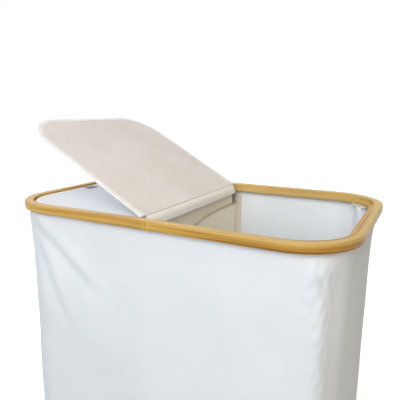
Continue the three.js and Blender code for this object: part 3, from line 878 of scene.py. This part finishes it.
def make_lid_hinge_tape(side):
    """Tape folded round the board's hinge edge, under the cover and the lining."""
    ply = 0.3 * mm
    depth = 0.84 * mm
    low, high = depth - lid_thickness, -depth
    radius = (high - low) / 2
    nose = lid_start + 0.4 * mm
    end = nose + 14 * mm
    centre = (nose + radius, high - radius)
    outside = arc(centre, radius, quarter_turn, math.pi, 8)
    inside = arc(centre, radius - ply, 3 * quarter_turn, -math.pi, 8)
    section = [(end, high), *outside, (end, low), (end, low + ply), *inside, (end, high - ply)]
    reach = lid_half_width - binding_flange - seat_gap
    rows = np.linspace(-reach, reach, 90)
    rings = [[(x, y, z) for x, z in section] for y in rows]
    flow = [[(x + z, y, 0) for x, z in section] for y in rows]
    tape = loft(f"{side}_hinge_tape_cloth", rings, flow)
    fit_to_lid(tape, side, "hinge_tape", "beige_cloth")


def make_pull_tab(side):
    """Folded ribbon tab that lies on the outer cover, with its loop end a little raised."""
    root = lid_length[side] - binding_flange + 0.8 * mm
    length, half, ply = 17 * mm, 12 * mm, 0.45 * mm
    sink, rise, loop = 0.1 * mm, 0.3 * mm, 0.3 * mm
    lower = [(root - share * length, rise * share**2 - sink) for share in np.linspace(0, 1, 17)]
    x, z = lower[-1]
    line = lower + arc((x, z + loop), loop, -quarter_turn, -math.pi, 6)[1:-1]
    line = np.array(line + [(x, z + 2 * loop) for x, z in reversed(lower)])
    tangent = np.gradient(line, axis=0)
    normal = np.column_stack([-tangent[:, 1], tangent[:, 0]])
    normal /= np.linalg.norm(normal, axis=1)[:, None]
    rows = np.linspace(-half, half, 24)
    faces = [
        [[(x, y, z) for y in rows] for x, z in line + normal * shift] for shift in (-ply / 2, ply / 2)]
    flow = [[(distance, y, 0) for y in rows] for distance in travel(line)]
    tab = closed_sheet(f"{side}_ribbon_tab", *faces, flow)
    fit_to_lid(tab, side, "pull_tab", "grey_ribbon")


def make_lid(side):
    ply = 0.38 * mm
    press = binding_ply + 0.02 * mm
    cover = lid_layer(f"{side}_cover_cloth", side, -press - ply, -press, 0.45 * mm, seed=5)
    fit_to_lid(cover, side, "cover", "white_cloth")
    low = press - lid_thickness
    lining = lid_layer(f"{side}_lining_cloth", side, low + ply, low, -0.5 * mm, seed=8)
    fit_to_lid(lining, side, "lining", "lining_cloth")
    make_lid_binding(side)
    make_lid_hinge_tape(side)
    make_pull_tab(side)


# Cloth hinges, bar and welt

sleeve_short = 7 * mm
tail_side_hem = 14 * mm
# Shares of the sleeve's painted shade: full on the tail below the band, less on the tail's side hems
tail_painted_shade = 1
hem_painted_shade = 0.6


def bridge(side, section, top, reach, cloth):
    """A strip along the hinge, with this section about it, that bends between the bar and a lid. Points
    within 1.6 mm of the top are flagged for the cloth's darker second colour: on the right hinge cloth
    that is painted shade in the crease.
    """
    rows = np.linspace(-reach, reach, 90)
    rings = [[(hinge_point.x + x, y, hinge_point.z + z) for x, z in section] for y in rows]
    # points near the top are flagged for painted shade in the crease, a darker line where the band meets
    # the lining
    seam = [math.dist(spot, top) < 1.6 * mm for spot in section]
    flow = [[(y, x - z, shade) for (x, z), shade in zip(section, seam)] for y in rows]
    strip = loft(f"{side}_hinge_cloth", rings, flow)
    dress(strip, cloth)
    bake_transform(strip)


def make_left_hinge_cloth():
    """The narrow strip that joins the left lid's outer face to the welt."""
    welt = 1.25 * mm
    ply = 0.35 * mm
    outer, inner = [], []
    for share in np.linspace(0, 1, 14):
        angle = math.radians(150 + 30 * share)
        radius = welt + ply + 0.25 * mm * share
        outer.append((math.cos(angle) * radius, math.sin(angle) * radius))
        inner.append((math.cos(angle) * (radius - ply), math.sin(angle) * (radius - ply)))
    edge = (-2.6 * mm, 0)
    bridge("left", outer + [edge] + inner[::-1], edge, lid_half_width - 2 * mm, "beige_cloth")


def make_right_hinge_cloth():
    """The soft band from the sleeve's lower edge up to the right lid's lining, over the welt. Its top edge
    carries a darker line of painted shade along the crease.
    """
    ply = 0.3 * mm
    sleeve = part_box("crossbar_sleeve")[1]
    face = sleeve.x - hinge_point.x + 0.45 * mm
    bar_top = sleeve.z - hinge_point.z
    bar_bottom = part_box("crossbar")[0].z - hinge_point.z
    low_edge = np.array([face + 1.8 * mm, bar_bottom - 1 * mm])
    turn = np.array([face + 0.8 * mm, bar_top - 3.5 * mm])
    pull = np.array([face + 0.2 * mm, bar_top + 2.2 * mm])
    along, down = 2.4 * mm, 2.5 * mm
    top = np.array([down * math.sin(lean) - along * math.cos(lean),
                    down * math.cos(lean) + along * math.sin(lean)])
    share = np.linspace(0, 1, 16)[:, None]
    straight = low_edge + (turn - low_edge) * share[:-1]
    curve = turn * (1 - share) ** 2 + pull * 2 * share * (1 - share) + top * share**2
    outer = np.concatenate([straight, curve])
    run = np.gradient(outer, axis=0)
    run /= np.linalg.norm(run, axis=1)[:, None]
    inner = outer - np.column_stack([run[:, 1], -run[:, 0]]) * ply
    section = [tuple(spot) for spot in np.concatenate([outer, inner[::-1]])]
    bridge("right", section, top, sleeve.y - sleeve_short + 1 * mm, "hinge_cloth")


def make_sleeve():
    """Cloth sleeve round the bar and the tail below it, with a wavy lower edge. The tail carries painted
    shade, darker and khaki, with less of it on its side hems.
    """
    low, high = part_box("crossbar_sleeve")
    centre = (low.x + high.x) / 2
    reach = (high.x - low.x) / 2
    top = high.z
    cloth, tail_half, corner = 0.7 * mm, 0.9 * mm, 1.6 * mm
    band_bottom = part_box("crossbar")[0].z - seat_gap - cloth
    end = high.y - sleeve_short
    lower_bend = arc((reach - corner, band_bottom + corner), corner, -quarter_turn, quarter_turn, 4)
    upper_bend = arc((reach - corner, top - corner), corner, 0, quarter_turn, 4)
    rings, flow = [], []
    for y in np.linspace(-end, end, 110):
        tail_shade = tail_painted_shade if end - abs(y) > tail_side_hem else hem_painted_shade
        wave = math.sin(y * math.tau / (52 * mm) + 0.6 * math.sin(y * 40))
        edge = low.z + 2.2 * mm * (1 + wave) / 2
        sway = 0.35 * mm * math.sin(y * math.tau / (75 * mm))
        slack = 0.1 * mm * math.sin(y * math.tau / (110 * mm) + 1)
        tail = [
            (tail_half + sway, edge), (tail_half + sway * 0.6, edge + 12 * mm),
            (tail_half, band_bottom - 0.8 * mm)]
        side = [(reach + slack, (top + band_bottom) / 2)]
        half = tail + [(tail_half, band_bottom)] + lower_bend + side + upper_bend
        section = half + [(-x, z) for x, z in reversed(half)]
        # the tail's points carry painted shade, the band's none
        shades = [tail_shade] * len(tail) + [0] * (len(half) - len(tail))
        shades += shades[::-1]
        rings.append([(centre + x, y, z) for x, z in section])
        flow.append([(y, distance, shade) for distance, shade in zip(travel(section), shades)])
    sleeve = loft("bar_sleeve_cloth", rings, flow)
    stand_for(sleeve, "crossbar_sleeve", "root", "sleeve_cloth")


def make_welt():
    """Corded welt between the lids: a cord wrapped in cloth on a flat tongue."""
    low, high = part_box("hinge_welt")
    radius, tongue = 1.15 * mm, 0.9 * mm
    cord = high.z - radius - 0.06 * mm
    neck = cord - 1.2 * radius
    rings, flow = [], []
    for y in np.linspace(low.y, high.y, 200):
        twist = 0.04 * mm * math.sin(y * math.tau / (9 * mm))
        section = [(-tongue, low.z), (tongue, low.z), (tongue, neck)]
        section += arc((0, cord), radius + twist, -math.pi / 4, 1.5 * math.pi, 12)
        section.append((-tongue, neck))
        rings.append([(hinge_point.x + x, y, z) for x, z in section])
        flow.append([(y, x + z, 0) for x, z in section])
    stand_for(loft("hinge_welt_cloth", rings, flow), "hinge_welt", "root", "beige_cloth")


# Divider and its tapes

tape_thickness = 1 * mm
tape_rise = 14 * mm


def seam_dip(across):
    """How far the divider's upper edge sags below its straight line."""
    return 2 * mm + 9 * mm * np.exp(-((across + 30 * mm) / (55 * mm)) ** 2)


def make_divider():
    """Hung divider sheet, slack between its tapes, and the tapes that hold it. Its upper edge carries a
    dark line of painted shade.
    """
    low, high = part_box("divider_panel")
    middle = (low.x + high.x) / 2
    ply = 0.8 * mm
    level = np.broadcast_to(np.linspace(low.z, high.z, 90)[:, None], (90, 60))
    half = wall_face(level) - seat_gap - tape_thickness - seat_gap
    y = np.linspace(-1, 1, 60) * half
    z = level - seam_dip(y) * smoothstep(high.z - 100 * mm, high.z, level)
    held = smoothstep(0, 40 * mm, half - np.abs(y)) * smoothstep(0, 30 * mm, z - low.z)
    slack = held * (0.9 * mm * ripple(y, z * 0.5, 140 * mm, seed=4))
    faces = [np.stack([middle + shift + slack, y, z], axis=-1) for shift in (ply, -ply)]
    # the top row of points is flagged for painted shade, a dark line along the upper edge
    flow = np.stack([y, z, level > high.z - 0.5 * mm], axis=-1)
    sheet = closed_sheet("divider_cloth", *faces, flow)
    stand_for(sheet, "divider_panel", "root", "khaki_cloth")
    make_top_tape()
    for place, side in ends.items():
        make_side_tape(place, side)


def make_top_tape():
    """The tape along the divider's upper edge, which sags with it."""
    low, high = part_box("divider_tape_top")
    middle = (low.x + high.x) / 2
    y = np.broadcast_to(np.linspace(low.y, high.y, 90), (8, 90))
    z = np.linspace(low.z, high.z, 8)[:, None] - seam_dip(y) - 1 * mm
    x = middle + 0 * z
    faces = [np.stack([x + side * tape_thickness / 2, y, z], axis=-1) for side in (1, -1)]
    tape = closed_sheet("divider_tape_top_cloth", *faces, np.stack([y, z, 0 * z], axis=-1))
    stand_for(tape, "divider_tape_top", "root", "tape_cloth")


def make_side_tape(place, side):
    """Hook-and-loop tape with softened edges, flat on the body's inner face and up to the rim."""
    low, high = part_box(f"divider_tape_{place}")
    middle = (low.x + high.x) / 2
    half, thick, soft = (high.x - low.x) / 2, tape_thickness / 2, 0.3 * mm
    outline = [(soft - half, -thick), (half - soft, -thick), (half, soft - thick), (half, thick - soft)]
    outline += [(-along, -out) for along, out in outline]
    rings, flow = [], []
    for z in np.linspace(low.z, high.z + tape_rise, 60):
        wall = wall_face(z) - seat_gap - thick
        rings.append([(middle + along, side * (wall + out), z) for along, out in outline])
        flow.append([(along + out, z, 0) for along, out in outline])
    tape = loft(f"divider_tape_{place}_cloth", rings, flow)
    stand_for(tape, f"divider_tape_{place}", "root", "tape_cloth")


# Corner pockets

pole_radius = 4.5 * mm
pole_cover = 6.9 * mm
pocket_reach = 21 * mm


def make_pocket(corner):
    """Cloth strip sewn over a pole: flat against the wall at both sides, round over the pole."""
    side = np.array([1 if "right" in corner else -1, 1 if "back" in corner else -1])
    low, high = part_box(f"pole_{corner}")
    near_x, far_x = sorted([abs(low.x), abs(high.x)])
    top_x, foot_x = near_x + pole_radius, far_x - pole_radius
    ply, gap = 0.7 * mm, 0.25 * mm
    run = np.linspace(-pocket_reach, pocket_reach, 49)
    over = 1 - smoothstep(6.5 * mm, 14 * mm, np.abs(run))
    first = board_top + 0.6 * mm
    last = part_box(f"socket_{corner}")[1].z - 2.6 * mm
    upper, lower, flow = [], [], []
    for height in np.linspace(first, last, 110):
        centre = np.array(corner_centre(height))
        wall = wall_radius(height) - shell_wall
        angle = math.pi / 4 + run / wall
        way = np.column_stack([np.cos(angle), np.sin(angle)])
        spots = side * (centre + way * wall_radius(height))
        on_wall = wall + body_offset(spots, way * side, height) - gap - ply
        pole_x = foot_x + (top_x - foot_x) * (height - low.z) / (high.z - low.z)
        on_pole = (pole_x - centre[0]) * math.sqrt(2) - pole_cover - ply
        crease = 0.4 * mm * np.sin(height * 60 + run * 300) * over
        inner = on_wall + (on_pole - on_wall) * over + crease
        level = np.full_like(run, height)
        for face, reach in ((upper, inner), (lower, inner + ply)):
            face.append(np.column_stack([side * (centre + way * reach[:, None]), level]))
        flow.append(np.column_stack([run, level, 0 * run]))
    pocket = closed_sheet(f"pocket_{corner}_cloth", upper, lower, flow)
    stand_for(pocket, f"pocket_{corner}", "root", "white_cloth")


# Rigid parts from the frame

def smooth_shading(obj, angle):
    mesh = obj.data
    mesh.polygons.foreach_set("use_smooth", [True] * len(mesh.polygons))
    mesh.set_sharp_from_angle(angle=math.radians(angle))


def mesh_points(obj):
    return np.array([vertex.co for vertex in obj.data.vertices])


def rim_flow(obj, side):
    """Grain coordinates of a rim half: along it from its front joint, in from the edge, and up."""
    x, y, z = mesh_points(obj).T
    x = side * x
    first = corner_x - side * rim_joint
    quarter = corner_radius * quarter_turn
    out_x, out_y = x - corner_x, np.abs(y) - corner_y
    turn = np.arctan2(np.clip(out_x, 0, None), np.clip(out_y, 1e-9, None))
    on_front = first + np.where(out_x > 0, corner_radius * turn, out_x)
    total = 2 * (first + quarter + corner_y)
    on_side = first + quarter + y + corner_y
    along = np.where(out_y > 0, np.where(y < 0, on_front, total - on_front), on_side)
    reach = np.where((out_x > 0) & (out_y > 0), np.hypot(out_x, out_y), np.maximum(out_x, out_y))
    set_flow(obj, np.column_stack([along, reach + side, z]))


def dress_nodes():
    """Bamboo on the rim and the bar, and a finish for each kind of smaller part."""
    nodes = frame["nodes"]
    rim_flow(nodes["rim_half_left"], -1)
    rim_flow(nodes["rim_half_right"], 1)
    set_flow(nodes["crossbar"], mesh_points(nodes["crossbar"])[:, [1, 0, 2]])
    for name in ("rim_half_left", "rim_half_right", "crossbar"):
        dress(nodes[name], "bamboo")
        smooth_shading(nodes[name], 50)
    finishes = {
        "dowel_wood": [f"rim_dowel_{end}" for end in ends],
        "zinc_steel": [name for name in nodes if "screw" in name],
        "white_plastic": ["hem_strip", *(f"{kind}_{at}" for at in corners for kind in ("foot", "socket"))],
        "grey_board": ["base_board", *(f"{side}_lid_board" for side in lids)],
        "pole_coat": [f"pole_{corner}" for corner in corners],
    }
    for material, names in finishes.items():
        for name in names:
            dress(nodes[name], material)
            smooth_shading(nodes[name], 40)


make_camera()
make_world()
make_floor()
make_lamps()
bpy.context.scene.view_settings.view_transform = "Standard"

dress_nodes()
make_body()
for lid in lids:
    make_lid(lid)
make_left_hinge_cloth()
make_right_hinge_cloth()
make_sleeve()
make_welt()
make_divider()
for name in corners:
    make_pocket(name)
